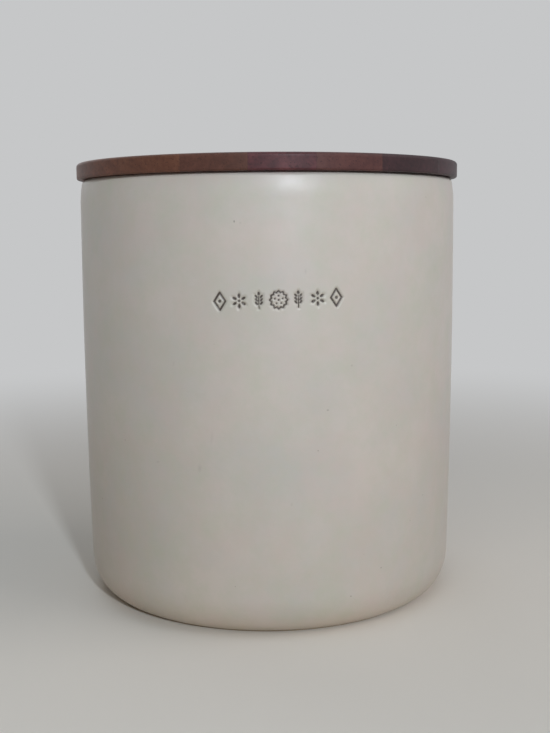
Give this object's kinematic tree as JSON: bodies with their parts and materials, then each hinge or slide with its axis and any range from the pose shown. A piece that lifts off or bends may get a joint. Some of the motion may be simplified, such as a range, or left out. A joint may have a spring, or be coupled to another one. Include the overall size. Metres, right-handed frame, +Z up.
{
  "type": "biscuit jar",
  "caption": "Round stoneware storage jar with a lift-off lid of glued wooden staves, whose plug carries a silicone sealing ring.",
  "frame": {"origin": "on the jar's axis, on the surface that the foot ring stands on", "axes": "+Z up along the jar's axis; -Y is the decorated front; the lid's staves and their grain run along Y"},
  "size_m": [0.1824, 0.1824, 0.2059],
  "materials": {
    "glazed_stoneware": "satin glaze over a cream stoneware body, with fine iron specks; the foot ring is bare",
    "silicone": "translucent moulded silicone, matt",
    "acacia_brown": "red-brown acacia under satin lacquer",
    "acacia_red": "pinkish brown acacia under satin lacquer",
    "acacia_dark": "dark purple-brown acacia under satin lacquer"
  },
  "bodies": {
    "jar": {"jar": "glazed_stoneware"},
    "gasket": {"gasket": "silicone"},
    "lid": {"lid_stave_1": "acacia_brown", "lid_stave_2": "acacia_brown", "lid_stave_3": "acacia_brown", "lid_stave_4": "acacia_red", "lid_stave_5": "acacia_red", "lid_stave_6": "acacia_dark", "lid_stave_7": "acacia_dark"}
  },
  "joints": [
    {"name": "lid_lift", "type": "slide", "parent": "jar", "child": "gasket", "axis": [0, 0, 1], "range_m": [0, 0.15]},
    {"name": "lid_turn", "type": "hinge", "parent": "gasket", "child": "lid", "pos_m": [0, 0, 0.1985], "axis": [0, 0, 1], "continuous": true}
  ]
}
